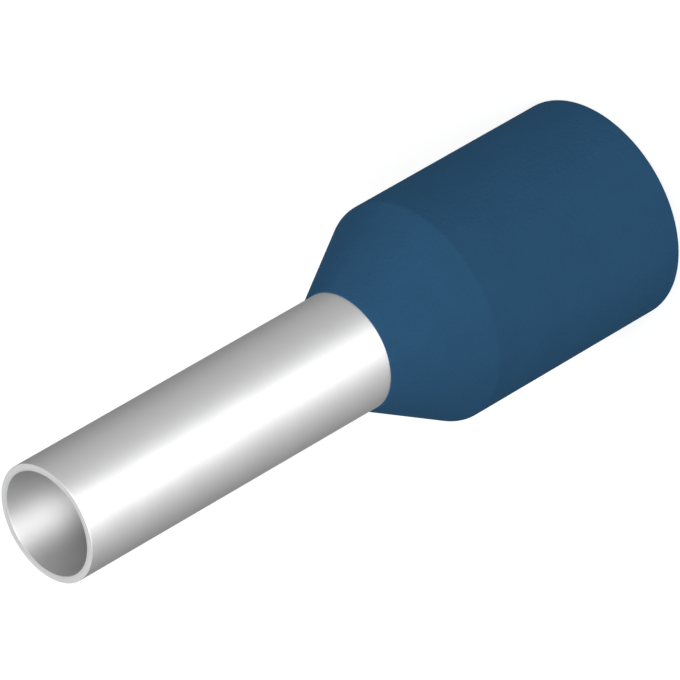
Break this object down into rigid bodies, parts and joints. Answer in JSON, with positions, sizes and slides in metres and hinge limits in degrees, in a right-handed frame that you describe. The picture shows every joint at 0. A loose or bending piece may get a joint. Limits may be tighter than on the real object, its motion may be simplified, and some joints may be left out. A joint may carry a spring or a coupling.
{
  "type": "wire ferrule",
  "caption": "Insulated wire end ferrule: a thin plated sleeve flared into the coned neck of a moulded blue collar, for crimping on a stranded wire.",
  "frame": {"origin": "centre of the collar's open end, on the axis of the sleeve", "axes": "+Z along the axis from the collar's open end to the mouth of the sleeve, +X and +Y across it"},
  "size_m": [0.0046, 0.0046, 0.015],
  "materials": {
    "collar_plastic": "moulded polypropylene, dull blue, fine satin skin",
    "plated_copper": "tin plate on drawn copper, pale grey satin"
  },
  "bodies": {
    "root": {"plastic_collar": "collar_plastic", "metal_sleeve": "plated_copper"}
  },
  "joints": []
}
